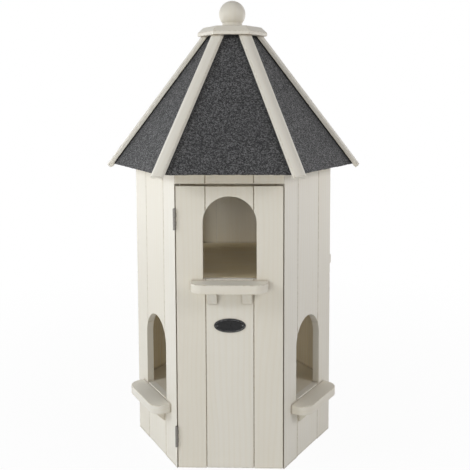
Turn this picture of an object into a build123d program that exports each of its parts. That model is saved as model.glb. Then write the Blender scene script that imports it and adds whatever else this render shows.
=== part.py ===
from build123d import *
from math import atan, cos, radians, sin, sqrt, tan
import os

# A hexagonal dovecote: six walls, a hinged front, two floors and a felted roof.
# Millimetres. The front faces -Y, +Z is up, and the origin is on the floor below the finial.

# Walls
wall_face_width = 225
wall_thickness = 15

# Roof, measured on the outer face of the felt: the eaves, and the rise to where the slopes would meet
eave_height = 633.4
eave_overhang = 46.7
roof_rise = 367.1
felt_thickness = 3
roof_board_thickness = 9
felt_overhang = 8

# Hip battens: a middle seat notched to the hip, and level lips on both sides of it
batten_width = 28
batten_seat_width = 16
batten_edge = 7.5
batten_crown = 9.1
batten_overhang = 8

# Cap below the peak of the slopes, and the ball on it
cap_below_peak = 78
cap_overhang = 20.4
cap_edge = 7.6
cap_chamfer_run = 13.7
cap_chamfer_rise = 12.4
ball_radius = 30
ball_foot_radius = 22.5
ball_foot_height = 10

# Front door and its clearances
door_below_eaves = 28.9
door_clearance = 5
door_ground_clearance = 2
ledge_width = 40
ledge_thickness = 12
ledge_end_margin = 18
lower_ledge_height = 75
upper_ledge_below_sill = 64.5

# Arched holes; the front one is placed below the top of the door
hole_width = 112
hole_straight = 118
hole_crown_below_door_top = 21
lower_sill = 131

# Floors, level with the sills
floor_thickness = 12

# Perches below the holes
perch_width = 160
perch_depth = 40
perch_thickness = 19
perch_corner_radius = 28
perch_below_sill = 2
bracket_width = 20
bracket_reach = 30
bracket_height = 30
bracket_nose = 3
bracket_spacing = 72

# Butt hinges on the left corner of the front
lower_hinge_height = 71
upper_hinge_below_door_top = 68.5
hinge_length = 45
hinge_leaf_thickness = 1.2
hinge_leaf_margin = 1.5
knuckle_radius = 2.8
knuckle_count = 5
knuckle_clearance = 0.4
pin_radius = 1.1
pin_clearance = 0.1
pin_projection = 2.6

# Oval plate below the front hole
plate_width = 66
plate_height = 30
plate_thickness = 1.5
plate_below_sill = 97.5

# Sizes that follow from the ones above
side_count = 6
half_corner = 180 / side_count
wall_apothem = wall_face_width / 2 / tan(radians(half_corner))
wall_corner_radius = wall_face_width / 2 / sin(radians(half_corner))
inner_apothem = wall_apothem - wall_thickness
inner_corner_radius = inner_apothem / cos(radians(half_corner))
eave_apothem = wall_apothem + eave_overhang
eave_corner_radius = eave_apothem / cos(radians(half_corner))
roof_slope = roof_rise / eave_apothem
face_angle = atan(roof_slope)
hip_angle = atan(roof_rise / eave_corner_radius)
seat_drop = batten_seat_width / 2 * roof_slope * sin(radians(half_corner)) * cos(hip_angle)
roof_depth = felt_thickness + roof_board_thickness
peak_height = eave_height + roof_rise
cap_bottom = peak_height - cap_below_peak
cap_top = cap_bottom + cap_edge + cap_chamfer_rise
cap_radius = cap_below_peak / tan(hip_angle) + cap_overhang
door_top = eave_height - door_below_eaves
door_edge_inset = door_clearance / 2 / cos(radians(half_corner))
header_bottom = door_top + door_clearance
upper_sill = door_top - hole_crown_below_door_top - hole_width / 2 - hole_straight

front_direction = 270
face_names = ("front", "front_right", "rear_right", "rear", "rear_left", "front_left")
corner_names = ("front_right", "right", "rear_right", "rear_left", "left", "front_left")
face_angles = {name: front_direction + 2 * half_corner * index for index, name in enumerate(face_names)}
corner_angles = {name: angle + half_corner for name, angle in zip(corner_names, face_angles.values())}
sills = {
    "front": upper_sill,
    "front_right": lower_sill,
    "rear_right": upper_sill,
    "rear": lower_sill,
    "rear_left": upper_sill,
    "front_left": lower_sill,
}


def outward(angle, distance=1, height=0):
    """A point at this distance from the middle, in the direction of this angle."""
    return (distance * cos(radians(angle)), distance * sin(radians(angle)), height)


def across(angle):
    """The level direction that runs to the right of one who faces the wall from outside."""
    return (-sin(radians(angle)), cos(radians(angle)), 0)


def face_plane(angle):
    """The outer face of a wall: x to the right, y up, z outward."""
    return Plane(origin=outward(angle, wall_apothem), x_dir=across(angle), z_dir=outward(angle))


def section_plane(angle):
    """The upright section through the middle of a wall: x outward, y up."""
    return Plane(origin=(0, 0, 0), x_dir=outward(angle), z_dir=across(angle - 180))


def shelf_plane(angle, height):
    """A level plane at the foot of a wall's outer face: x along the wall, y outward."""
    return Plane(origin=outward(angle, wall_apothem, height), x_dir=across(angle - 180), z_dir=(0, 0, 1))


def corner_plane(angle):
    """The upright plane through the middle and a corner, facing the way the angles grow."""
    return Plane(origin=(0, 0, 0), x_dir=outward(angle), z_dir=across(angle))


def roof_plane(angle, depth):
    """The slope above a wall, this deep below the outer face of the felt."""
    tilt = Vector(sin(face_angle) * cos(radians(angle)), sin(face_angle) * sin(radians(angle)), cos(face_angle))
    return Plane(origin=Vector(0, 0, peak_height) - tilt * depth, z_dir=tilt)


def wall_plan(angle, inset=0):
    """The plan of a mitred board between two corners, its ends drawn in by an inset."""
    outer_half = wall_face_width / 2 - inset
    inner_half = inner_apothem * tan(radians(half_corner)) - inset
    with BuildSketch(shelf_plane(angle, 0), mode=Mode.PRIVATE) as plan:
        with BuildLine():
            Polyline(
                (-outer_half, 0),
                (outer_half, 0),
                (inner_half, -wall_thickness),
                (-inner_half, -wall_thickness),
                close=True,
            )
        make_face()
    return plan.sketch


def arch(angle, sill):
    """The outline of an arched hole on the outer face of a wall."""
    with BuildSketch(face_plane(angle), mode=Mode.PRIVATE) as outline:
        with Locations((0, sill + hole_straight / 2)):
            Rectangle(hole_width, hole_straight)
        with Locations((0, sill + hole_straight)):
            Circle(hole_width / 2)
    return outline.sketch


def save(piece, name):
    piece.label = name
    export_step(piece, f"parts/{name}.step")


os.makedirs("parts", exist_ok=True)

def door_gap(corner):
    """The half of the door's clearance that lies on the fixed side of a corner plane, below the header."""
    side = -1 if corner == "front_left" else 1
    base = Plane(origin=(0, 0, 0), x_dir=outward(corner_angles[corner]), z_dir=(0, 0, 1))
    with BuildPart() as gap:
        with BuildSketch(base):
            with Locations((wall_corner_radius, side * door_clearance / 4)):
                Rectangle(2 * wall_thickness + 2 * door_clearance, door_clearance / 2)
        extrude(amount=header_bottom)
    return gap.part


# Five fixed walls, bevelled on top to the slope of the roof, two of them cut back beside the door
for side, angle in face_angles.items():
    if side == "front":
        continue
    with BuildPart() as wall:
        extrude(wall_plan(angle), amount=peak_height, dir=(0, 0, 1))
        split(bisect_by=roof_plane(angle, roof_depth), keep=Keep.BOTTOM)
        extrude(arch(angle, sills[side]), amount=-wall_thickness, mode=Mode.SUBTRACT)
        if side in ("front_left", "front_right"):
            add(door_gap(side), mode=Mode.SUBTRACT)
    save(wall.part, f"wall_{side}")

# Header above the door
with BuildPart() as front_header:
    front_angle = face_angles["front"]
    extrude(wall_plan(front_angle), amount=peak_height, dir=(0, 0, 1))
    split(bisect_by=roof_plane(front_angle, roof_depth), keep=Keep.BOTTOM)
    split(bisect_by=Plane.XY.offset(header_bottom), keep=Keep.TOP)
save(front_header.part, "front_header")

# Floors, fitted to the walls and cut back behind the door
for name, sill in (("floor_lower", lower_sill), ("floor_upper", upper_sill)):
    with BuildPart() as floor:
        with BuildSketch(Plane.XY.offset(sill)):
            RegularPolygon(radius=inner_corner_radius, side_count=side_count)
            with Locations((0, -inner_apothem)):
                Rectangle(2 * wall_face_width, 2 * door_clearance, mode=Mode.SUBTRACT)
        extrude(amount=-floor_thickness)
    save(floor.part, name)


def roof_slab(angle, outer_depth, inner_depth, set_back):
    """One slope of the roof between two depths below the felt's face, mitred at the hips."""
    up_slope = Vector(-cos(face_angle), sin(face_angle))
    inward = Vector(-sin(face_angle), -cos(face_angle))
    foot = Vector(eave_apothem, eave_height) + up_slope * set_back
    ridge = (peak_height - cap_bottom) / roof_slope
    with BuildPart() as slab:
        with BuildSketch(section_plane(angle)):
            with BuildLine():
                Polyline(
                    foot + inward * outer_depth,
                    (ridge - outer_depth / sin(face_angle), cap_bottom),
                    (ridge - inner_depth / sin(face_angle), cap_bottom),
                    foot + inward * inner_depth,
                    close=True,
                )
            make_face()
        extrude(amount=eave_corner_radius, both=True)
        split(bisect_by=corner_plane(angle - half_corner), keep=Keep.TOP)
        split(bisect_by=corner_plane(angle + half_corner), keep=Keep.BOTTOM)
    return slab.part


# Roof boards and the felt on them
for side, angle in face_angles.items():
    save(roof_slab(angle, felt_thickness, roof_depth, felt_overhang), f"roof_board_{side}")
    save(roof_slab(angle, 0, felt_thickness, 0), f"roof_felt_{side}")

# Battens along the hips, their seats on the felt of both slopes
for corner, angle in corner_angles.items():
    up_hip = Vector(*outward(angle, -cos(hip_angle), sin(hip_angle)))
    foot = Vector(*outward(angle, eave_corner_radius, eave_height)) - up_hip * batten_overhang
    with BuildPart() as batten:
        with BuildSketch(Plane(origin=foot, x_dir=across(angle - 180), z_dir=up_hip)):
            with BuildLine():
                half_width = batten_width / 2
                half_seat = batten_seat_width / 2
                shoulder = batten_edge - seat_drop
                Polyline(
                    (-half_width, shoulder),
                    (-half_width, -seat_drop),
                    (-half_seat, -seat_drop),
                    (0, 0),
                    (half_seat, -seat_drop),
                    (half_width, -seat_drop),
                    (half_width, shoulder),
                )
                ThreePointArc((half_width, shoulder), (0, batten_crown), (-half_width, shoulder))
            make_face()
        extrude(amount=eave_corner_radius / cos(hip_angle))
        split(bisect_by=Plane.XY.offset(cap_bottom), keep=Keep.BOTTOM)
    save(batten.part, f"hip_batten_{corner}")

# Six-sided cap with a chamfered top
with BuildPart() as roof_cap:
    with BuildSketch(Plane.XY.offset(cap_bottom)):
        RegularPolygon(radius=cap_radius, side_count=side_count)
    extrude(amount=cap_edge)
    with BuildSketch(Plane.XY.offset(cap_bottom + cap_edge)):
        RegularPolygon(radius=cap_radius, side_count=side_count)
    with BuildSketch(Plane.XY.offset(cap_top)):
        RegularPolygon(radius=cap_radius - cap_chamfer_run, side_count=side_count)
    loft()
save(roof_cap.part, "roof_cap")

# Turned ball on a short foot
with BuildPart() as finial_ball:
    with BuildSketch(Plane.XZ):
        with BuildLine():
            foot_join = cap_top + ball_foot_height
            ball_middle = foot_join + sqrt(ball_radius**2 - ball_foot_radius**2)
            Polyline(
                (ball_foot_radius, foot_join),
                (ball_foot_radius, cap_top),
                (0, cap_top),
                (0, ball_middle + ball_radius),
            )
            ThreePointArc(
                (0, ball_middle + ball_radius),
                (ball_radius, ball_middle),
                (ball_foot_radius, foot_join),
            )
        make_face()
    revolve(axis=Axis.Z)
save(finial_ball.part, "finial_ball")

# A perch and its two wedge brackets below each hole; those on the front ride on the door
for side, angle in face_angles.items():
    perch_top = sills[side] - perch_below_sill
    perch_bottom = perch_top - perch_thickness
    with BuildPart() as perch:
        with BuildSketch(shelf_plane(angle, perch_bottom)) as board:
            with Locations((0, perch_depth / 2)):
                Rectangle(perch_width, perch_depth)
            fillet(board.vertices().group_by(Axis.Y)[-1], radius=perch_corner_radius)
        extrude(amount=perch_thickness)
    with BuildPart() as brackets:
        middle = section_plane(angle)
        with BuildSketch(middle.offset(bracket_spacing / 2), middle.offset(-bracket_spacing / 2)):
            with BuildLine():
                Polyline(
                    (wall_apothem, perch_bottom),
                    (wall_apothem + bracket_reach, perch_bottom),
                    (wall_apothem + bracket_reach, perch_bottom - bracket_nose),
                    (wall_apothem + bracket_nose, perch_bottom - bracket_height),
                    (wall_apothem, perch_bottom - bracket_height),
                    close=True,
                )
            make_face()
        extrude(amount=bracket_width / 2, both=True)
    if side == "front":
        save(perch.part, "door_perch")
        save(brackets.part, "door_perch_brackets")
    else:
        save(perch.part, f"perch_{side}")
        save(brackets.part, f"perch_brackets_{side}")

# Door between the mitred ends of the side walls
with BuildPart() as door_panel:
    extrude(wall_plan(front_angle, inset=door_edge_inset), amount=door_top, dir=(0, 0, 1))
    split(bisect_by=Plane.XY.offset(door_ground_clearance), keep=Keep.TOP)
    extrude(arch(front_angle, sills["front"]), amount=-wall_thickness, mode=Mode.SUBTRACT)
save(door_panel.part, "door_panel")

# Ledges across the inside of the door
with BuildPart() as door_ledges:
    door_inner_half = inner_apothem * tan(radians(half_corner)) - door_edge_inset
    ledge_length = 2 * (door_inner_half - ledge_end_margin)
    ledge_heights = (lower_ledge_height, upper_sill - upper_ledge_below_sill)
    with BuildSketch(face_plane(front_angle).offset(-wall_thickness)):
        with Locations(*[(0, height) for height in ledge_heights]):
            Rectangle(ledge_length, ledge_width)
    extrude(amount=-ledge_thickness)
save(door_ledges.part, "door_ledges")

# Oval plate, bare
with BuildPart() as name_plate:
    with BuildSketch(face_plane(front_angle)):
        with Locations((0, upper_sill - plate_below_sill)):
            Ellipse(plate_width / 2, plate_height / 2)
    extrude(amount=plate_thickness)
save(name_plate.part, "name_plate")

# Butt hinges in the gap at the front left corner: x runs out along the corner plane, y to the door
hinge_angle = corner_angles["front_left"]
hinge_heights = (lower_hinge_height, door_top - upper_hinge_below_door_top)
knuckle_pitch = hinge_length / knuckle_count
pin_distance = wall_corner_radius + pin_projection
leaf_end = wall_corner_radius - knuckle_radius
leaf_start = inner_corner_radius + hinge_leaf_margin


def hinge_leaves(leaf_middle, first_knuckle, with_pin):
    """Both hinges' leaves on one side of the gap, with every second knuckle."""
    with BuildPart() as leaves:
        for hinge_height in hinge_heights:
            bottom = hinge_height - hinge_length / 2
            base = Plane(origin=(0, 0, bottom), x_dir=outward(hinge_angle), z_dir=(0, 0, 1))
            with BuildSketch(base):
                with Locations(((leaf_start + leaf_end) / 2, leaf_middle)):
                    Rectangle(leaf_end - leaf_start, hinge_leaf_thickness)
            extrude(amount=hinge_length)
            for index in range(first_knuckle, knuckle_count, 2):
                with BuildSketch(base.offset(index * knuckle_pitch + knuckle_clearance / 2)):
                    with Locations(((leaf_end + pin_distance) / 2, leaf_middle)):
                        Rectangle(pin_distance - leaf_end, hinge_leaf_thickness)
                    with Locations((pin_distance, 0)):
                        Circle(knuckle_radius)
                        Circle(pin_radius + pin_clearance, mode=Mode.SUBTRACT)
                extrude(amount=knuckle_pitch - knuckle_clearance)
            if with_pin:
                with BuildSketch(base):
                    with Locations((pin_distance, 0)):
                        Circle(pin_radius)
                extrude(amount=hinge_length)
                for end in (0, hinge_length - knuckle_clearance):
                    with BuildSketch(base.offset(end)):
                        with Locations((pin_distance, 0)):
                            Circle(knuckle_radius)
                    extrude(amount=knuckle_clearance)
    return leaves.part


leaf_offset = (door_clearance - hinge_leaf_thickness) / 2
save(hinge_leaves(-leaf_offset, 0, True), "hinge_frame_leaves")
save(hinge_leaves(leaf_offset, 1, False), "hinge_door_leaves")
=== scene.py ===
import math
import random

import bmesh
import bpy
from mathutils import Matrix, Vector, noise


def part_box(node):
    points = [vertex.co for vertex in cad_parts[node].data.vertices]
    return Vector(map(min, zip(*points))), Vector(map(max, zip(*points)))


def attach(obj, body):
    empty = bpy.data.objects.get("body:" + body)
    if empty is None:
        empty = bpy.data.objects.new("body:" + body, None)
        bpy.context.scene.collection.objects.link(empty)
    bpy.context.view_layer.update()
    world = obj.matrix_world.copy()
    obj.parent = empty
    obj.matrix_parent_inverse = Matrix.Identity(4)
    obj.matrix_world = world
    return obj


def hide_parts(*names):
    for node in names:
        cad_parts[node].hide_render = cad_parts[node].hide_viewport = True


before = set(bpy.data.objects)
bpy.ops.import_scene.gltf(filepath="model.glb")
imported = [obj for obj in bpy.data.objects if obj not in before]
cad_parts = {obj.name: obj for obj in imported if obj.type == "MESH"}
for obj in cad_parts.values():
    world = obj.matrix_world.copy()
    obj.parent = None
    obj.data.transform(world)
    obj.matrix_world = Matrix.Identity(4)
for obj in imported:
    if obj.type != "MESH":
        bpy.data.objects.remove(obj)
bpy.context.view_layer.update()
random.seed(7)

MM = 0.001
HALF_CORNER = math.radians(30)

# Places that differ by less than this are the same place
SAME_PLACE = 1e-6

# The hexagon's faces and corners, by the direction that each one looks in
FACES = {
    "front": 270,
    "front_right": 330,
    "rear_right": 30,
    "rear": 90,
    "rear_left": 150,
    "front_left": 210,
}
CORNERS = {
    "front_right": 300,
    "right": 0,
    "rear_right": 60,
    "rear_left": 120,
    "left": 180,
    "front_left": 240,
}

# Sizes read from the frame
WALL_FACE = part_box("wall_rear")[1].y
WALL_THICKNESS = WALL_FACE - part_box("wall_rear")[0].y
HALF_WALL = WALL_FACE * math.tan(HALF_CORNER)
WALL_CORNER = WALL_FACE / math.cos(HALF_CORNER)
SILLS = {
    "front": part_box("floor_upper")[1].z,
    "rear_right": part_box("floor_upper")[1].z,
    "rear_left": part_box("floor_upper")[1].z,
    "front_right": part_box("floor_lower")[1].z,
    "front_left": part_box("floor_lower")[1].z,
    "rear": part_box("floor_lower")[1].z,
}
HEADER_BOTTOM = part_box("front_header")[0].z
EAVE_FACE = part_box("roof_felt_rear")[1].y
EAVE_CORNER = EAVE_FACE / math.cos(HALF_CORNER)
CAP_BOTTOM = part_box("roof_cap")[0].z
CAP_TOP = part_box("roof_cap")[1].z
CAP_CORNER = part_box("roof_cap")[1].x

# The roof: its eaves, where its slopes would meet, and the depth of felt and boards together
EAVE_HEIGHT = 633.4 * MM
PEAK_HEIGHT = 1000.5 * MM
FELT_THICKNESS = 3 * MM
ROOF_DEPTH = 12 * MM
FELT_OVERHANG = 8 * MM
ROOF_SLOPE = (PEAK_HEIGHT - EAVE_HEIGHT) / EAVE_FACE
FACE_ANGLE = math.atan(ROOF_SLOPE)
HIP_ANGLE = math.atan((PEAK_HEIGHT - EAVE_HEIGHT) / EAVE_CORNER)
ROOF_RISE_IN_WALL = WALL_THICKNESS * ROOF_SLOPE

# The holes, and the joints between a wall's boards, by their distance from its middle
HOLE_HALF = 56 * MM
HOLE_STRAIGHT = 118 * MM
BOARD_JOINT = 50 * MM
JOINT_GAP = 0.9 * MM
GROOVE = 1.1 * MM
EASED_EDGE = 0.7 * MM

# The clearance beside the door, with a hinge leaf on each side, and the gap that the boards leave there
DOOR_CLEARANCE = 5 * MM
DOOR_GAP = 3.2 * MM
DOOR_CUT_BACK = DOOR_GAP / 2 / math.cos(HALF_CORNER)

# How thinly each floor is stained, where the inside of a wall is 1; the upper floor's high value paints
# in shade as well
FLOOR_STAIN_AND_SHADE = {"floor_lower": 0.35, "floor_upper": 1.9}

# Inside, the stain is thin up to the first height and nearly full from the second; the browner lower room
# is partly painted shade
THIN_STAIN_UP_TO = 0.28
FULL_STAIN_FROM = 0.54

# Faces that meet at more than this keep a sharp edge between them
SHARP_FROM = math.radians(40)


# Camera and studio


def add_object(name, data):
    """Puts a mesh, a lamp or a camera into the scene."""
    made = bpy.data.objects.new(name, data)
    bpy.context.scene.collection.objects.link(made)
    return made


def place_camera():
    """The photograph's view, from a little above the eaves, with the frame shifted down."""
    yaw, pitch, roll = math.radians(1.6644), math.radians(5.1596), math.radians(-0.1934)
    data = bpy.data.cameras.new("camera")
    data.lens = 56.06
    data.sensor_width = 36
    data.shift_x = -0.0102
    data.shift_y = -0.1611
    camera = add_object("camera", data)
    camera.matrix_world = (
        Matrix.Translation((65.0 * MM, -1681.7 * MM, 794.2 * MM))
        @ Matrix.Rotation(yaw, 4, "Z")
        @ Matrix.Rotation(math.pi / 2 - pitch, 4, "X")
        @ Matrix.Rotation(roll, 4, "Z")
    )
    bpy.context.scene.camera = camera


def softbox(name, place, size, power, colour=(1, 1, 1)):
    """A rectangular lamp that faces the middle of the house."""
    middle = Vector((0, 0, 0.5))
    data = bpy.data.lights.new(name, "AREA")
    data.shape = "RECTANGLE"
    data.size, data.size_y = size
    data.energy = power
    data.color = colour
    lamp = add_object(name, data)
    lamp.location = place
    lamp.rotation_euler = (Vector(place) - middle).to_track_quat("Z", "Y").to_euler()


def light_studio():
    """Raised lamps to the left and the right, low ones in front and at the left foot, and two behind."""
    softbox("key_left", (-1.7, -0.95, 1.35), (0.6, 0.6), 16.2, (0.93, 0.965, 1.0))
    softbox("fill_front_left", (-1.0, -2.1, 0.5), (0.6, 0.6), 7.4, (1.0, 0.975, 0.88))
    softbox("fill_front", (0.38, -2.3, 0.52), (0.6, 0.5), 2.4, (1.0, 0.96, 0.82))
    softbox("fill_left_foot", (-1.9, -0.7, 0.25), (1.0, 0.4), 2.8, (0.96, 0.98, 1.0))
    softbox("fill_right", (1.75, -1.0, 1.35), (0.6, 0.6), 12.3, (0.99, 0.975, 0.98))
    softbox("rear_left", (-1.7, 1.7, 0.6), (1.0, 1.2), 13)
    softbox("rear_right", (1.7, 1.7, 0.6), (1.0, 1.2), 12)


# Node helpers


def feed(node, key, value):
    """Joins a socket to a node's input, or sets the input to a fixed value."""
    if isinstance(value, bpy.types.NodeSocket):
        node.id_data.links.new(value, node.inputs[key])
    else:
        node.inputs[key].default_value = value


def node_adder(tree):
    """Returns the function that adds a node to this tree, with its settings and its inputs' values."""

    def add(kind, values=None, **settings):
        node = tree.nodes.new(kind)
        for key, setting in settings.items():
            setattr(node, key, setting)
        for key, value in (values or {}).items():
            feed(node, key, value)
        return node

    return add


def blend_colours(add, amount, first, second):
    """Mixes two colours by a mask."""
    values = {0: amount, 6: first, 7: second}
    return add("ShaderNodeMix", data_type="RGBA", clamp_factor=True, values=values).outputs[2]


def layered(add, colour, *layers):
    """Lays colours over a first one in turn, each by its own mask."""
    for amount, over in layers:
        colour = blend_colours(add, amount, colour, over)
    return colour


def work(add, operation, *values, clamp=False):
    """One step of arithmetic on sockets or numbers."""
    step = add("ShaderNodeMath", operation=operation, use_clamp=clamp, values=dict(enumerate(values)))
    return step.outputs[0]


def spread(add, value, low, high, to_low=0.0, to_high=1.0):
    """Stretches a range of values to another, and holds it inside."""
    limits = {"From Min": low, "From Max": high, "To Min": to_low, "To Max": to_high}
    return add("ShaderNodeMapRange", clamp=True, values={"Value": value, **limits}).outputs["Result"]


def cloud(add, scale, detail, roughness=0.5, place=None):
    """Soft noise through the object's own space, or through the coordinates given."""
    if place is None:
        place = add("ShaderNodeTexCoord").outputs["Object"]
    values = {"Vector": place, "Scale": scale, "Detail": detail, "Roughness": roughness}
    return add("ShaderNodeTexNoise", values=values).outputs[0]


def relief(add, height, strength, distance):
    """A bumped surface's normal."""
    values = {"Height": height, "Strength": strength, "Distance": distance}
    return add("ShaderNodeBump", values=values).outputs[0]


def new_group(name, inputs, outputs):
    """A shader group with these inputs, each a number, or a vector for None, and these number outputs."""
    group = bpy.data.node_groups.new(name, "ShaderNodeTree")
    for label, default in inputs.items():
        kind = "NodeSocketVector" if default is None else "NodeSocketFloat"
        socket = group.interface.new_socket(label, in_out="INPUT", socket_type=kind)
        if default is not None:
            socket.default_value = default
    for label in outputs:
        group.interface.new_socket(label, in_out="OUTPUT", socket_type="NodeSocketFloat")
    add = node_adder(group)
    return group, add, add("NodeGroupInput"), add("NodeGroupOutput")


def place_group(add, group, **values):
    """Puts a shared effect into a material with this material's own values."""
    spoken = {key.replace("_", " "): value for key, value in values.items()}
    return add("ShaderNodeGroup", node_tree=group, values=spoken)


# Shared effects


def wood_grain_group():
    """Straight softwood grain that runs along the third axis of the grain coordinates."""
    group, add, given, out = new_group(
        "wood grain",
        {"Place": None, "Ring Spacing": 0.009, "Waviness": 0.25},
        ["Rings", "Fibres", "Patches"],
    )
    place = given.outputs["Place"]

    def stretched(across, along):
        values = {0: place, 1: (across, across, along)}
        return add("ShaderNodeVectorMath", operation="MULTIPLY", values=values).outputs[0]

    drift = cloud(add, 1.0, 2.0, place=stretched(across=9, along=1.6))
    sideways = add("ShaderNodeSeparateXYZ", values={0: place}).outputs[0]
    bent = work(add, "MULTIPLY_ADD", drift, given.outputs["Waviness"], sideways)
    turns = work(add, "DIVIDE", bent, given.outputs["Ring Spacing"])
    wave = work(add, "SINE", work(add, "MULTIPLY", turns, 2 * math.pi))
    feed(out, "Rings", spread(add, wave, -0.2, 1.0))
    feed(out, "Fibres", cloud(add, 1.0, 3.0, 0.65, stretched(across=900, along=9)))
    feed(out, "Patches", cloud(add, 1.0, 2.0, place=stretched(across=24, along=3)))
    return group


def corner_shade_and_dust_group():
    """Painted shade and gathered dust where two pieces meet, from ambient occlusion: 1 in the corners, 0
    in the open.
    """
    group, add, given, out = new_group("corner shade and dust", {"Reach": 0.006, "Patchiness": 0.4}, ["Shade And Dust"])
    # Ambient occlusion finds the corners: this is where the painted shade comes from
    closeness = add("ShaderNodeAmbientOcclusion", samples=8, values={"Distance": given.outputs["Reach"]})
    hollow = work(add, "SUBTRACT", 1.0, closeness.outputs["AO"], clamp=True)
    least = 0.8
    patches = work(add, "MULTIPLY", cloud(add, 60.0, 3.0), given.outputs["Patchiness"])
    uneven = work(add, "ADD", patches, least)
    feed(out, "Shade And Dust", work(add, "MULTIPLY", hollow, uneven, clamp=True))
    return group


def edge_wear_group():
    """Uneven wear along eased edges, from the edge mark that the mesh carries."""
    group, add, given, out = new_group("edge wear", {"Amount": 0.6, "Scale": 140.0}, ["Wear"])
    edge = add("ShaderNodeAttribute", attribute_name="edge").outputs["Fac"]
    broken = spread(add, cloud(add, given.outputs["Scale"], 4.0), 0.42, 0.66)
    worn = work(add, "MULTIPLY", edge, broken)
    feed(out, "Wear", work(add, "MULTIPLY", worn, given.outputs["Amount"]))
    return group


def granule_group():
    """Mineral granules pressed into bitumen: their tone and their height."""
    group, add, given, out = new_group("granules", {"Grain Size": 0.0016}, ["Tone", "Height"])
    where = add("ShaderNodeTexCoord").outputs["Object"]
    fineness = work(add, "DIVIDE", 1.0, given.outputs["Grain Size"])
    cells = add("ShaderNodeTexVoronoi", values={"Vector": where, "Scale": fineness, "Randomness": 1.0})
    clumps = cloud(add, work(add, "MULTIPLY", fineness, 1.3), 2.0, 0.7)
    pick = add("ShaderNodeSeparateColor", values={0: cells.outputs["Color"]}).outputs[0]
    grain_share, clump_share, sparseness = 0.75, 0.35, 1.8
    mixed = work(add, "MULTIPLY_ADD", pick, grain_share, work(add, "MULTIPLY", clumps, clump_share))
    feed(out, "Tone", work(add, "POWER", spread(add, mixed, 0.2, 1.0), sparseness))
    feed(out, "Height", work(add, "SUBTRACT", 1.0, cells.outputs["Distance"], clamp=True))
    return group


EFFECTS = {
    "grain": wood_grain_group(),
    "shade_and_dust": corner_shade_and_dust_group(),
    "wear": edge_wear_group(),
    "granules": granule_group(),
}


# Materials


def emptied(owner):
    """Clears the nodes of a material or a world, and returns the function that adds new ones."""
    owner.use_nodes = True
    owner.node_tree.nodes.clear()
    return node_adder(owner.node_tree)


def new_material(name):
    """A material with a bare surface, the function that adds its nodes, and that surface."""
    material = bpy.data.materials.new(name)
    add = emptied(material)
    surface = add("ShaderNodeBsdfPrincipled")
    add("ShaderNodeOutputMaterial", values={"Surface": surface.outputs[0]})
    return material, add, surface


def dress(surface, **inputs):
    """Joins sockets to a surface's inputs by name, and sets those that are the same all over."""
    for key, value in inputs.items():
        feed(surface, key.replace("_", " "), value)


def white_stained_wood(name, pale):
    """Softwood under a thin white stain: faint grain, and darker in the joints, where dust gathers and
    shade is painted in.
    """
    material, add, surface = new_material(name)
    place = add("ShaderNodeAttribute", attribute_name="grain").outputs["Vector"]
    board = add("ShaderNodeAttribute", attribute_name="tone").outputs["Fac"]
    inside = add("ShaderNodeAttribute", attribute_name="inside").outputs["Fac"]
    where = add("ShaderNodeTexCoord").outputs["Object"]
    height = add("ShaderNodeSeparateXYZ", values={0: where}).outputs[2]
    grain = place_group(add, EFFECTS["grain"], Place=place, Ring_Spacing=0.011, Waviness=0.06)
    shade_and_dust = place_group(add, EFFECTS["shade_and_dust"], Reach=0.006, Patchiness=0.5)
    wear = place_group(add, EFFECTS["wear"], Amount=0.35, Scale=160.0)

    def tinted(red, green, blue):
        return (pale[0] * red, pale[1] * green, pale[2] * blue, 1)

    warm, cool, thin = tinted(0.93, 0.885, 0.80), tinted(1.03, 1.04, 1.06), tinted(0.82, 0.68, 0.40)
    bare, shade_and_dust_colour = (0.42, 0.30, 0.17, 1), (0.22, 0.15, 0.075, 1)
    # Inside faces turn browner low down: a thin stain, and painted shade of the lower room
    stain_and_low_shade = spread(add, height, THIN_STAIN_UP_TO, FULL_STAIN_FROM, to_low=1.0, to_high=0.08)
    colour = layered(
        add,
        (*pale, 1),
        (work(add, "MULTIPLY", inside, stain_and_low_shade), thin),
        (work(add, "MULTIPLY", grain.outputs["Rings"], 0.26), warm),
        (spread(add, grain.outputs["Fibres"], 0.3, 0.72, to_high=0.5), cool),
        (spread(add, grain.outputs["Patches"], 0.48, 0.75, to_high=0.22), warm),
        (work(add, "MULTIPLY", board, 0.3), warm),
        (wear.outputs["Wear"], bare),
        # Painted shade and dust: darker brown where ambient occlusion finds a joint or a corner
        (work(add, "MULTIPLY", shade_and_dust.outputs["Shade And Dust"], 0.7), shade_and_dust_colour),
    )
    roughness = spread(add, grain.outputs["Fibres"], 0.2, 0.8, to_low=0.42, to_high=0.58)
    raised_grain = work(add, "MULTIPLY_ADD", grain.outputs["Rings"], 0.35, grain.outputs["Fibres"])
    normal = relief(add, raised_grain, strength=0.22, distance=0.4 * MM)
    dress(surface, Base_Color=colour, Roughness=roughness, Normal=normal, Specular_IOR_Level=0.35)
    return material


def felt_material():
    """Charcoal roofing felt with mineral granules, painted nearly black in its corners and beside the
    battens as painted shade.
    """
    material, add, surface = new_material("roofing_felt")
    granules = place_group(add, EFFECTS["granules"], Grain_Size=0.0019)
    shade_and_dust = place_group(add, EFFECTS["shade_and_dust"], Reach=0.011, Patchiness=0.3)
    bitumen, granule = (0.004, 0.004, 0.005, 1), (0.178, 0.178, 0.183, 1)
    weathered, shaded = (0.035, 0.035, 0.038, 1), (0.004, 0.004, 0.004, 1)
    colour = layered(
        add,
        bitumen,
        (granules.outputs["Tone"], granule),
        (spread(add, cloud(add, 9.0, 3.0), 0.4, 0.7, to_high=0.25), weathered),
        # Painted shade: nearly black where ambient occlusion finds the battens and the cap
        (shade_and_dust.outputs["Shade And Dust"], shaded),
    )
    roughness = spread(add, granules.outputs["Tone"], 0.0, 1.0, to_low=0.85, to_high=0.45)
    normal = relief(add, granules.outputs["Height"], strength=0.5, distance=0.8 * MM)
    dress(surface, Base_Color=colour, Roughness=roughness, Normal=normal, Specular_IOR_Level=0.45)
    return material


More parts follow.
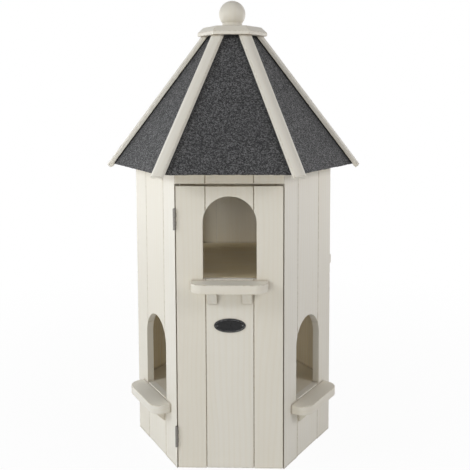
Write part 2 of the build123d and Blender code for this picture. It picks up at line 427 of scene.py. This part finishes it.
def dark_steel_material():
    """Dull dark steel of the hinges, rubbed bright on its edges."""
    material, add, surface = new_material("dark_steel")
    mottle = cloud(add, 220.0, 4.0)
    shade_and_dust = place_group(add, EFFECTS["shade_and_dust"], Reach=0.002, Patchiness=0.5)
    wear = place_group(add, EFFECTS["wear"], Amount=0.8, Scale=400.0)
    dark, light = (0.16, 0.15, 0.14, 1), (0.30, 0.29, 0.27, 1)
    rubbed, darker_in_crevices = (0.55, 0.54, 0.52, 1), (0.05, 0.04, 0.03, 1)
    colour = layered(
        add,
        dark,
        (mottle, light),
        (wear.outputs["Wear"], rubbed),
        # Darker in the hinge's crevices, where ambient occlusion finds them
        (work(add, "MULTIPLY", shade_and_dust.outputs["Shade And Dust"], 0.7), darker_in_crevices),
    )
    roughness = spread(add, mottle, 0.3, 0.7, to_low=0.34, to_high=0.55)
    normal = relief(add, mottle, strength=0.15, distance=0.2 * MM)
    dress(surface, Base_Color=colour, Roughness=roughness, Normal=normal, Metallic=0.9)
    return material


def black_plate_material():
    """Black enamelled plate with fine orange peel, rubbed along its rim."""
    material, add, surface = new_material("black_plate")
    orange_peel = cloud(add, 500.0, 3.0)
    wear = place_group(add, EFFECTS["wear"], Amount=1.0, Scale=260.0)
    black, glossy, rubbed = (0.003, 0.003, 0.004, 1), (0.016, 0.016, 0.018, 1), (0.5, 0.5, 0.5, 1)
    colour = layered(add, black, (orange_peel, glossy), (wear.outputs["Wear"], rubbed))
    roughness = spread(add, orange_peel, 0.3, 0.7, to_low=0.22, to_high=0.4)
    normal = relief(add, orange_peel, strength=0.2, distance=0.2 * MM)
    dress(surface, Base_Color=colour, Roughness=roughness, Normal=normal, Specular_IOR_Level=0.3)
    return material


def seen_directly(add):
    """1 for the rays of the camera, of reflections and through clear things, and 0 for the rest."""
    path = add("ShaderNodeLightPath")
    seen = work(add, "MAXIMUM", path.outputs["Is Camera Ray"], path.outputs["Is Glossy Ray"])
    return work(add, "MAXIMUM", seen, path.outputs["Is Transmission Ray"])


def studio_white():
    """A matt white floor that keeps a faint shadow, and passes into the white background further out."""
    material = bpy.data.materials.new("studio_white")
    add = emptied(material)
    where = add("ShaderNodeTexCoord").outputs["Object"]
    distance = add("ShaderNodeVectorMath", operation="LENGTH", values={0: where}).outputs["Value"]
    further_out = spread(add, distance, 0.3, 1.6, to_low=0.95, to_high=1.0)
    share = work(add, "MULTIPLY", seen_directly(add), further_out)
    matt = add("ShaderNodeBsdfDiffuse", values={"Color": (0.82, 0.82, 0.82, 1)}).outputs[0]
    glow = add("ShaderNodeEmission", values={"Color": (1, 1, 1, 1), "Strength": 1.0}).outputs[0]
    mixed = add("ShaderNodeMixShader", values={0: share, 1: matt, 2: glow})
    add("ShaderNodeOutputMaterial", values={"Surface": mixed.outputs[0]})
    return material


def white_world():
    """White behind the object, and a much dimmer, even light on it."""
    world = bpy.data.worlds.new("studio")
    bpy.context.scene.world = world
    add = emptied(world)
    direction = add("ShaderNodeTexCoord").outputs["Generated"]
    height = add("ShaderNodeSeparateXYZ", values={0: direction}).outputs[2]
    soft = spread(add, height, -0.2, 0.9, to_low=0.18, to_high=0.24)
    dim = add("ShaderNodeBackground", values={"Color": (1, 1, 1, 1), "Strength": soft}).outputs[0]
    white = add("ShaderNodeBackground", values={"Color": (1, 1, 1, 1), "Strength": 1.0}).outputs[0]
    mixed = add("ShaderNodeMixShader", values={0: seen_directly(add), 1: dim, 2: white})
    add("ShaderNodeOutputWorld", values={"Surface": mixed.outputs[0]})


WOOD = white_stained_wood("white_stained_wood", (0.80, 0.77, 0.70))
INNER_WOOD = white_stained_wood("thinly_stained_wood", (0.66, 0.56, 0.38))
FELT = felt_material()
STEEL = dark_steel_material()
PLATE = black_plate_material()


# Placing pieces


def turned(angle):
    """The turn from the front to the side that looks this way."""
    return Matrix.Rotation(math.radians(angle - FACES["front"]), 4, "Z")


def on_wall(angle, height=0.0):
    """Places what is made with x to the right, y inward and z up on the wall that looks this way."""
    return turned(angle) @ Matrix.Translation((0, -WALL_FACE, height))


def on_roof(angle, reach, slope):
    """The same on a slope or a hip of the roof, with z up along it from the eaves at this reach."""
    lean = Matrix.Rotation(slope - math.pi / 2, 4, "X")
    return turned(angle) @ Matrix.Translation((0, -reach, EAVE_HEIGHT)) @ lean


# Making solids


def rectangle(left, right, low, high):
    """The corners of a rectangle, in order round it."""
    return [(left, low), (right, low), (right, high), (left, high)]


def hexagon(reach):
    """The corners of a level hexagon, by the distance from its middle to a corner."""
    turns = [math.radians(angle) for angle in range(0, 360, 60)]
    return [(reach * math.cos(turn), reach * math.sin(turn)) for turn in turns]


def full_turn(steps):
    """Evenly spaced angles round a circle."""
    return [2 * math.pi * step / steps for step in range(steps)]


def prism(near, far):
    """A closed solid between two matching rings of points."""
    made = bmesh.new()
    first = [made.verts.new(point) for point in near]
    last = [made.verts.new(point) for point in far]
    made.faces.new(first)
    made.faces.new(reversed(last))
    for index in range(len(first)):
        after = (index + 1) % len(first)
        made.faces.new((first[index], last[index], last[after], first[after]))
    bmesh.ops.recalc_face_normals(made, faces=made.faces)
    return made


def upright_prism(outline, bottom, top):
    """A prism between two heights, from its outline seen from above."""
    return prism([(x, y, bottom) for x, y in outline], [(x, y, top) for x, y in outline])


def level_prism(outline, near, far):
    """A prism between two depths, from its outline seen from the front."""
    return prism([(x, near, z) for x, z in outline], [(x, far, z) for x, z in outline])


def join_rings(made, rings):
    """Closes the skin between rings of points that follow each other, and returns each band's faces."""
    bands = []
    for lower, upper in zip(rings, rings[1:]):
        band = []
        for i in range(len(lower)):
            after = (i + 1) % len(lower)
            band.append(made.faces.new((lower[i], lower[after], upper[after], upper[i])))
        bands.append(band)
    return bands


def lathe(profile, steps=96):
    """A solid of revolution about the upright axis, from (radius, height) points between two poles."""
    made = bmesh.new()
    foot = made.verts.new((0, 0, profile[0][1]))
    head = made.verts.new((0, 0, profile[-1][1]))
    rings = []
    for radius, height in profile[1:-1]:
        points = [(radius * math.cos(a), radius * math.sin(a), height) for a in full_turn(steps)]
        rings.append([made.verts.new(point) for point in points])
    for i in range(steps):
        after = (i + 1) % steps
        made.faces.new((foot, rings[0][after], rings[0][i]))
        made.faces.new((head, rings[-1][i], rings[-1][after]))
    join_rings(made, rings)
    bmesh.ops.recalc_face_normals(made, faces=made.faces)
    return made


def face_mark(solid, name):
    """The mark of this name on a solid's faces, made where there is none yet."""
    marks = solid.faces.layers.float
    return marks.get(name) or marks.new(name)


def mark_faces(solid, name, amount, where=None):
    """Marks a solid's faces, or only those that pass a test."""
    mark = face_mark(solid, name)
    for face in solid.faces:
        if where is None or where(face):
            face[mark] = amount


def ease(made, width, segments=2, where=None, steepest=math.radians(40)):
    """Rounds the edges of a solid that turn by more than an angle, and marks them for wear."""
    mark = face_mark(made, "edge")
    edges = [
        edge
        for edge in made.edges
        if edge.is_convex and edge.calc_face_angle(0) > steepest and (where is None or where(edge))
    ]
    if not edges:
        return
    bevel = {"offset": width, "segments": segments, "profile": 0.5, "clamp_overlap": True}
    result = bmesh.ops.bevel(made, geom=edges, affect="EDGES", **bevel)
    for face in result["faces"]:
        face[mark] = 1.0


class Piece:
    """Solids gathered into one mesh, each with its own grain and tone."""

    def __init__(self):
        self.mesh = bmesh.new()

    def take(self, solid, place=Matrix.Identity(4), along="Z"):
        """Adds a solid, with its grain up or along X, and then moves it to its place."""
        grain = solid.verts.layers.float_vector.new("grain")
        tone = solid.verts.layers.float.new("tone")
        for name in ("edge", "inside"):
            face_mark(solid, name)
        start = Vector((random.uniform(0, 9), random.uniform(0, 9), random.uniform(0, 9)))
        shade = random.random()
        for vertex in solid.verts:
            x, y, z = vertex.co
            local = (z, y, x) if along == "X" else (x, y, z)
            vertex[grain] = Vector(local) + start
            vertex[tone] = shade
        solid.transform(place)
        holder = bpy.data.meshes.new("holder")
        solid.to_mesh(holder)
        solid.free()
        self.mesh.from_mesh(holder)
        bpy.data.meshes.remove(holder)

    def finish(self, name, material, body, nodes, slot, weighted=True):
        """Puts the mesh into the scene with its finish, on its body, in place of the frame's nodes."""
        data = bpy.data.meshes.new(name)
        self.mesh.to_mesh(data)
        self.mesh.free()
        data.materials.append(material)
        data.shade_smooth()
        data.set_sharp_from_angle(angle=SHARP_FROM)
        made = add_object(name, data)
        if weighted:
            made.modifiers.new("flat faces", "WEIGHTED_NORMAL").keep_sharp = True
        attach(made, body)
        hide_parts(*nodes)


# Walls, door and header


def arch_height(x, sill):
    """The height of the hole's edge above a place across the wall."""
    return sill + HOLE_STRAIGHT + math.sqrt(max(HOLE_HALF**2 - x**2, 0))


def arch_points(start, end, sill, steps):
    """Points along the round top of the hole, by the place across the wall, end points left out."""
    first, last = math.acos(start / HOLE_HALF), math.acos(end / HOLE_HALF)
    angles = [first + (last - first) * step / steps for step in range(1, steps)]
    return [(HOLE_HALF * math.cos(a), sill + HOLE_STRAIGHT + HOLE_HALF * math.sin(a)) for a in angles]


def board_outlines(half, bottom, top, sill, cut_back):
    """The faces of a wall's three boards, as outlines, with the hole cut out of them."""
    inner, outer = BOARD_JOINT - JOINT_GAP / 2, BOARD_JOINT + JOINT_GAP / 2
    steps_beside, steps_above = 10, 34
    if sill is None:
        plain = rectangle(outer, half, bottom, top)
        middles = [rectangle(-inner, inner, bottom, top)]
    else:
        plain = [
            *rectangle(outer, half, bottom, top),
            (outer, arch_height(outer, sill)),
            *arch_points(outer, HOLE_HALF, sill, steps_beside),
            (HOLE_HALF, sill + HOLE_STRAIGHT),
            (HOLE_HALF, sill),
            (outer, sill),
        ]
        over_hole = [
            (-inner, top),
            (-inner, arch_height(inner, sill)),
            *arch_points(-inner, inner, sill, steps_above),
            (inner, arch_height(inner, sill)),
            (inner, top),
        ]
        middles = [rectangle(-inner, inner, bottom, sill), over_hole]
    mirrored = [(-x, z) for x, z in reversed(plain)]
    if cut_back:
        corner = plain.index((half, bottom))
        short = half - cut_back
        plain[corner : corner + 1] = [(short, bottom), (short, HEADER_BOTTOM), (half, HEADER_BOTTOM)]
    return [plain, mirrored, *middles]


def boarded_wall(half, bottom, top, sill=None, roof_bevel=True, cut_back=0):
    """Three tongued boards with V joints, mitred at both ends, as one piece."""
    piece = Piece()
    mitre = WALL_THICKNESS * math.tan(HALF_CORNER)
    joint_reach = JOINT_GAP + 1.5 * GROOVE

    def behind(x, z):
        if abs(x) > half - cut_back - SAME_PLACE:
            x -= math.copysign(mitre, x)
        if roof_bevel and abs(z - top) < SAME_PLACE:
            z += ROOF_RISE_IN_WALL
        return (x, WALL_THICKNESS, z)

    def near_joint(edge, reach):
        return all(abs(abs(v.co.x) - BOARD_JOINT) < reach for v in edge.verts)

    def groove_edge(edge):
        return near_joint(edge, JOINT_GAP) and all(v.co.y < SAME_PLACE for v in edge.verts)

    def free_edge(edge):
        return not near_joint(edge, joint_reach)

    def inner_face(face):
        return all(v.co.y > WALL_THICKNESS - 10 * SAME_PLACE for v in face.verts)

    for outline in board_outlines(half, bottom, top, sill, cut_back):
        board = prism([(x, 0, z) for x, z in outline], [behind(x, z) for x, z in outline])
        ease(board, GROOVE, 1, groove_edge)
        ease(board, EASED_EDGE, 2, free_edge, math.radians(50))
        mark_faces(board, "inside", 1.0, inner_face)
        piece.take(board)
    spans = [(bottom, top)]
    if sill is not None:
        spans = [(bottom, sill), (arch_height(BOARD_JOINT, sill), top)]
    for side in (-1, 1):
        for low, high in spans:
            piece.take(tongue(side * BOARD_JOINT, low + MM, high - MM))
    return piece


def tongue(x, low, high):
    """The strip that closes the joint between two boards."""
    near, far, reach = 4 * MM, WALL_THICKNESS - 0.4 * MM, 0.7 * MM
    return level_prism(rectangle(x - reach, x + reach, low, high), near, far)


def mirror(mesh):
    """Turns a wall's mesh over from left to right."""
    bmesh.ops.scale(mesh, vec=(-1, 1, 1), verts=mesh.verts)
    bmesh.ops.reverse_faces(mesh, faces=mesh.faces)


def make_walls():
    """The five fixed walls, cut back beside the door, and the header above it."""
    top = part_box("wall_rear")[1].z - ROOF_RISE_IN_WALL
    for side, angle in FACES.items():
        if side == "front":
            continue
        beside_door = side in ("front_left", "front_right")
        cut_back = DOOR_CUT_BACK if beside_door else 0
        wall = boarded_wall(HALF_WALL, 0, top, SILLS[side], cut_back=cut_back)
        if side == "front_right":
            mirror(wall.mesh)
        wall.mesh.transform(on_wall(angle))
        wall.finish(f"boards_{side}", WOOD, "house", [f"wall_{side}"], "white_wood")
    header = boarded_wall(HALF_WALL, HEADER_BOTTOM, top)
    header.mesh.transform(on_wall(FACES["front"]))
    header.finish("header_boards", WOOD, "house", ["front_header"], "white_wood")


def make_door():
    """The door's boards, and the two ledges across their back."""
    low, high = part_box("door_panel")
    door = boarded_wall(HALF_WALL - DOOR_CUT_BACK, low.z, high.z, SILLS["front"], roof_bevel=False)
    door.mesh.transform(on_wall(FACES["front"]))
    door.finish("door_boards", WOOD, "door", ["door_panel"], "white_wood")
    low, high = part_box("door_ledges")
    ledge_width = 40 * MM
    ledges = Piece()
    for bottom in (low.z, high.z - ledge_width):
        ledge = level_prism(rectangle(low.x, high.x, bottom, bottom + ledge_width), low.y, high.y)
        ease(ledge, 1.5 * MM, 3)
        ledges.take(ledge, along="X")
    ledges.finish("door_ledge_boards", WOOD, "door", ["door_ledges"], "white_wood")


def make_floors():
    """Two hexagonal floors, cut off straight behind the door."""
    for name, stain_and_shade in FLOOR_STAIN_AND_SHADE.items():
        low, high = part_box(name)
        half_front = high.x + low.y * math.tan(HALF_CORNER)
        outline = [
            (math.copysign(half_front, x), low.y) if y < low.y else (x, y) for x, y in hexagon(high.x)
        ]
        board = upright_prism(outline, low.z, high.z)
        ease(board, 0.6 * MM, 2)
        # The floors' thin stain; on the upper floor it is strong enough to be painted shade as well
        mark_faces(board, "inside", stain_and_shade)
        floor = Piece()
        floor.take(board, along="X")
        floor.finish(f"{name}_board", WOOD, "house", [name], "white_wood")


# Perches


def rounded_perch(width, depth, thickness, corner):
    """A perch board: straight at the wall, round at its two outer corners of this radius."""
    steps = 10
    centres = ((width / 2 - corner, 0), (-width / 2 + corner, math.pi / 2))
    outline = [(-width / 2, 0), (width / 2, 0)]
    for centre, start in centres:
        for step in range(steps + 1):
            angle = start + math.pi / 2 * step / steps
            x = centre + corner * math.cos(angle)
            outline.append((x, -(depth - corner) - corner * math.sin(angle)))
    return upright_prism(outline, 0, thickness)


def wedge():
    """A bracket block, cut on the slant below."""
    low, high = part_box("perch_brackets_rear")
    half_width, reach, height, nose = 10 * MM, high.y - low.y, high.z - low.z, 3 * MM
    outline = [(0, 0), (-reach, 0), (-reach, -nose), (-nose, -height), (0, -height)]
    block = prism([(-half_width, y, z) for y, z in outline], [(half_width, y, z) for y, z in outline])
    ease(block, 0.7 * MM, 2)
    return block


def make_perches():
    """A perch and its two brackets below each hole, on the house or on the door."""
    corner, below_sill, bracket_place = 28 * MM, 2 * MM, 36 * MM
    low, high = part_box("perch_rear")
    width, depth, thickness = high.x - low.x, high.y - low.y, high.z - low.z
    for side, angle in FACES.items():
        bottom = SILLS[side] - below_sill - thickness
        on_door = side == "front"
        body = "door" if on_door else "house"
        perch = Piece()
        board = rounded_perch(width, depth, thickness, corner)
        ease(board, 1.3 * MM, 3)
        perch.take(board, on_wall(angle, bottom), along="X")
        node = "door_perch" if on_door else f"perch_{side}"
        perch.finish(f"{node}_board", WOOD, body, [node], "white_wood")
        node = "door_perch_brackets" if on_door else f"perch_brackets_{side}"
        brackets = Piece()
        for offset in (-bracket_place, bracket_place):
            brackets.take(wedge(), on_wall(angle, bottom) @ Matrix.Translation((offset, 0, 0)))
        brackets.finish(f"{node}_wedges", WOOD, body, [node], "white_wood")


# Roof


def slope_half(up, depth):
    """Half the width of a slope at a distance up it and a depth below its face."""
    run = EAVE_FACE - up * math.cos(FACE_ANGLE) - depth * math.sin(FACE_ANGLE)
    return run * math.tan(HALF_CORNER)


def slope_top(depth, slope=FACE_ANGLE):
    """How far up a slope or a hip the cap's underside is, at a depth below its face."""
    return (CAP_BOTTOM - EAVE_HEIGHT + depth * math.cos(slope)) / math.sin(slope)


def make_roof_boards():
    """The board under the felt of each slope, from the felt's overhang to the cap."""
    for side, angle in FACES.items():
        rings = []
        for depth in (FELT_THICKNESS, ROOF_DEPTH):
            foot, head = FELT_OVERHANG, slope_top(depth)
            rings.append(
                [
                    (-slope_half(foot, depth), depth, foot),
                    (slope_half(foot, depth), depth, foot),
                    (slope_half(head, depth), depth, head),
                    (-slope_half(head, depth), depth, head),
                ]
            )
        slope = Piece()
        slope.take(prism(*rings), on_roof(angle, EAVE_FACE, FACE_ANGLE), along="X")
        slope.finish(f"roof_panel_{side}", INNER_WOOD, "house", [f"roof_board_{side}"], "white_wood")


def felt_sheet():
    """One slope's felt: a thin sheet, a little uneven, with a ragged lower edge."""
    across, along = 120, 90
    deepest_dent = 0.35 * MM
    seed = Vector((random.uniform(0, 50), random.uniform(0, 50), 0))
    made = bmesh.new()

    def unevenness(x, y, z):
        return noise.noise(seed + Vector((x, y, z)))

    def ragged_foot(share):
        """How far up from the eaves the lower edge is torn: a broad wave with finer tears on it."""
        tear = unevenness(share * 9, 0, 0) + 0.6 * unevenness(share * 40, 5, 0)
        return max((0.6 + 0.8 * tear) * MM, 0.0)

    def dent(share, up):
        return deepest_dent * (0.5 + 0.5 * unevenness(share * 5, up * 18, 3))

    def grid_point(i, j, depth):
        share = 2 * i / across - 1
        foot = ragged_foot(share)
        up = foot + (slope_top(depth) - foot) * (j / along) ** 1.1
        into = dent(share, up) if depth == 0 else depth
        return (share * slope_half(up, into), into, up)

    face, rear = [
        [[made.verts.new(grid_point(i, j, depth)) for i in range(across + 1)] for j in range(along + 1)]
        for depth in (0, FELT_THICKNESS)
    ]
    for j in range(along):
        for i in range(across):
            made.faces.new((face[j][i], face[j][i + 1], face[j + 1][i + 1], face[j + 1][i]))
            made.faces.new((rear[j][i], rear[j + 1][i], rear[j + 1][i + 1], rear[j][i + 1]))
    for i in range(across):
        made.faces.new((face[0][i], rear[0][i], rear[0][i + 1], face[0][i + 1]))
        made.faces.new((face[along][i], face[along][i + 1], rear[along][i + 1], rear[along][i]))
    for j in range(along):
        made.faces.new((face[j][0], face[j + 1][0], rear[j + 1][0], rear[j][0]))
        made.faces.new((face[j][across], rear[j][across], rear[j + 1][across], face[j + 1][across]))
    bmesh.ops.recalc_face_normals(made, faces=made.faces)
    return made


def make_felt():
    """A felt sheet on each slope."""
    for side, angle in FACES.items():
        felt = Piece()
        felt.take(felt_sheet(), on_roof(angle, EAVE_FACE, FACE_ANGLE))
        felt.finish(f"felt_{side}", FELT, "house", [f"roof_felt_{side}"], "roof_felt", weighted=False)


def batten_section(half, seat, edge, crown):
    """A batten across its length: a notch over the hip, level lips, upright edges and a round back."""
    foot = seat * ROOF_SLOPE * math.sin(HALF_CORNER) * math.cos(HIP_ANGLE)
    shoulder = foot - edge
    rise = crown + shoulder
    radius = (half**2 + rise**2) / (2 * rise)
    turn = math.asin(half / radius)
    steps = 12
    section = [(half, shoulder), (half, foot), (seat, foot), (0, 0)]
    section += [(-seat, foot), (-half, foot), (-half, shoulder)]
    for step in range(1, steps):
        angle = -turn + 2 * turn * step / steps
        section.append((radius * math.sin(angle), -crown + radius * (1 - math.cos(angle))))
    return section


def make_battens():
    """Rounded battens over the hips, with a shadow gap below their level lips."""
    section = batten_section(half=14 * MM, seat=8 * MM, edge=7.5 * MM, crown=9.1 * MM)
    overhang = 8 * MM
    for corner, angle in CORNERS.items():
        foot = [(x, y, -overhang) for x, y in section]
        head = [(x, y, slope_top(y, HIP_ANGLE)) for x, y in section]
        batten = Piece()
        strip = prism(foot, head)
        ease(strip, 0.9 * MM, 2, steepest=math.radians(30))
        batten.take(strip, on_roof(angle, EAVE_CORNER, HIP_ANGLE))
        batten.finish(f"batten_{corner}", WOOD, "house", [f"hip_batten_{corner}"], "white_wood")


def make_cap():
    """The hexagonal board over the peak, with an upright edge and a wide chamfer above it."""
    edge, chamfer = 7.6 * MM, 13.7 * MM
    levels = ((CAP_CORNER, CAP_BOTTOM), (CAP_CORNER, CAP_BOTTOM + edge), (CAP_CORNER - chamfer, CAP_TOP))
    made = bmesh.new()
    rings = []
    for reach, height in levels:
        rings.append([made.verts.new((x, y, height)) for x, y in hexagon(reach)])
    made.faces.new(reversed(rings[0]))
    made.faces.new(rings[-1])
    join_rings(made, rings)
    bmesh.ops.recalc_face_normals(made, faces=made.faces)
    ease(made, 1.2 * MM, 3, steepest=math.radians(20))
    cap = Piece()
    cap.take(made, along="X")
    cap.finish("cap_board", WOOD, "house", ["roof_cap"], "white_wood")


def make_ball():
    """The turned ball on its short round foot."""
    low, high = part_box("finial_ball")
    radius, foot_radius, foot_height = 30 * MM, 22.5 * MM, 10 * MM
    middle = high.z - radius
    join = math.asin(foot_radius / radius)
    profile = [
        (0, low.z),
        (foot_radius - MM, low.z),
        (foot_radius, low.z + MM),
        (foot_radius, low.z + foot_height),
    ]
    steps = 48
    for step in range(1, steps):
        angle = join + (math.pi - join) * step / steps
        profile.append((radius * math.sin(angle), middle - radius * math.cos(angle)))
    profile.append((0, high.z))
    ball = Piece()
    ball.take(lathe(profile))
    ball.finish("turned_ball", WOOD, "house", ["finial_ball"], "white_wood", weighted=False)


# Hinges, made with x out along the corner, y towards the door and z up from the hinge's lower end

HINGE_LENGTH = 45 * MM
LEAF_THICKNESS = 1.2 * MM
KNUCKLE_RADIUS = 2.8 * MM
KNUCKLE_COUNT = 5
KNUCKLE_PLAY = 0.4 * MM
PIN_RADIUS = 1.1 * MM
PIN_OUT = WALL_CORNER + 2.6 * MM
LEAF_OUT = WALL_CORNER - KNUCKLE_RADIUS
LEAF_IN = (WALL_FACE - WALL_THICKNESS) / math.cos(HALF_CORNER) + 1.5 * MM


def round_bar(radius, bottom, top, chamfer, steps=32):
    """A short upright bar with chamfered ends."""
    profile = [
        (0, bottom),
        (radius - chamfer, bottom),
        (radius, bottom + chamfer),
        (radius, top - chamfer),
        (radius - chamfer, top),
        (0, top),
    ]
    return lathe(profile, steps)


def screw_head(radius):
    """A nearly flush screw head, its face up."""
    foot, rim, face = -0.3 * MM, 0.05 * MM, 0.15 * MM
    return lathe([(0, foot), (radius, foot), (radius, rim), (radius * 0.92, face), (0, face)], 24)


def add_leaf(half, place, near, first, facing):
    """A leaf with every second knuckle from the first, and screws in the face towards the other leaf."""
    far = near + LEAF_THICKNESS
    leaf = upright_prism(rectangle(LEAF_IN, LEAF_OUT, near, far), 0, HINGE_LENGTH)
    ease(leaf, 0.2 * MM, 2)
    half.take(leaf, place)
    pitch = HINGE_LENGTH / KNUCKLE_COUNT
    for index in range(first, KNUCKLE_COUNT, 2):
        start, end = index * pitch + KNUCKLE_PLAY / 2, (index + 1) * pitch - KNUCKLE_PLAY / 2
        barrel = round_bar(KNUCKLE_RADIUS, start, end, 0.25 * MM)
        half.take(barrel, place @ Matrix.Translation((PIN_OUT, 0, 0)))
        tab = upright_prism(rectangle(LEAF_OUT, PIN_OUT, near, far), start, end)
        half.take(tab, place)
    screwed_face = far if facing > 0 else near
    upright = Matrix.Rotation(-facing * math.pi / 2, 4, "X")
    for height in (0.17, 0.5, 0.83):
        at = Matrix.Translation(((LEAF_IN + LEAF_OUT) / 2, screwed_face, height * HINGE_LENGTH))
        half.take(screw_head(2.6 * MM), place @ at @ upright)


def make_hinges():
    """Two butt hinges in the gap at the front left corner, with their pins in the frame's half."""
    low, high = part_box("hinge_frame_leaves")
    corner = Matrix.Rotation(math.radians(CORNERS["front_left"]), 4, "Z")
    half_gap = DOOR_CLEARANCE / 2
    frame_half, door_half = Piece(), Piece()
    for bottom in (low.z, high.z - HINGE_LENGTH):
        place = corner @ Matrix.Translation((0, 0, bottom))
        add_leaf(frame_half, place, -half_gap, first=0, facing=1)
        add_leaf(door_half, place, half_gap - LEAF_THICKNESS, first=1, facing=-1)
        pin = round_bar(PIN_RADIUS, 0, HINGE_LENGTH, 0.2 * MM, 20)
        frame_half.take(pin, place @ Matrix.Translation((PIN_OUT, 0, 0)))
    frame_half.finish("hinge_frame_half", STEEL, "house", ["hinge_frame_leaves"], "dark_steel")
    door_half.finish("hinge_door_half", STEEL, "door", ["hinge_door_leaves"], "dark_steel")


# Oval plate


def pin_head(radius, height):
    """A small round pin head, its face up."""
    foot = -0.2 * MM
    dome = [(radius * math.cos(t), height * math.sin(t)) for t in (0, math.pi / 6, math.pi / 3)]
    made = lathe([(0, foot), (radius, foot), *dome, (0, height)], 20)
    mark_faces(made, "edge", 1.0)
    return made


def make_plate():
    """A bare oval plate with a raised rim, a bead line inside it and a pin at each end."""
    low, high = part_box("name_plate")
    half_width, half_height = (high.x - low.x) / 2, (high.z - low.z) / 2
    thickness = high.y - low.y
    middle = (low.z + high.z) / 2
    field = thickness - 0.7 * MM
    bead = field + 0.4 * MM
    # How far in from the edge each ring lies, and how proud of the door
    levels = (
        (0.0, 0.0),
        (0.0, thickness - 0.4 * MM),
        (0.3 * MM, thickness),
        (1.4 * MM, thickness),
        (1.8 * MM, field),
        (2.6 * MM, field),
        (2.8 * MM, bead),
        (3.2 * MM, bead),
        (3.4 * MM, field),
    )
    rubbed_bands = (1, 3, 5, 6, 7)
    made = bmesh.new()
    rings = []
    for inset, proud in levels:
        wide, tall = half_width - inset, half_height - inset
        points = [(wide * math.cos(a), -proud, middle + tall * math.sin(a)) for a in full_turn(96)]
        rings.append([made.verts.new(point) for point in points])
    made.faces.new(rings[0])
    made.faces.new(rings[-1])
    mark = face_mark(made, "edge")
    bands = join_rings(made, rings)
    for level in rubbed_bands:
        for face in bands[level]:
            face[mark] = 1.0
    bmesh.ops.recalc_face_normals(made, faces=made.faces)
    plate = Piece()
    plate.take(made, on_wall(FACES["front"]))
    facing_out = Matrix.Rotation(math.pi / 2, 4, "X")
    for side in (-1, 1):
        at = Matrix.Translation((side * (half_width - 6.5 * MM), -field, middle))
        plate.take(pin_head(1.3 * MM, 0.6 * MM), on_wall(FACES["front"]) @ at @ facing_out)
    plate.finish("oval_plate", PLATE, "door", ["name_plate"], "black_plate")


def make_studio_floor():
    """A wide white floor under the house."""
    reach = 6
    data = bpy.data.meshes.new("studio_floor")
    corners = [(x, y, 0) for x, y in rectangle(-reach, reach, -reach, reach)]
    data.from_pydata(corners, [], [(0, 1, 2, 3)])
    data.materials.append(studio_white())
    floor = add_object("studio_floor", data)


place_camera()
white_world()
light_studio()
make_walls()
make_door()
make_floors()
make_perches()
make_roof_boards()
make_felt()
make_battens()
make_cap()
make_ball()
make_hinges()
make_plate()
make_studio_floor()

bpy.context.scene.view_settings.view_transform = "Standard"
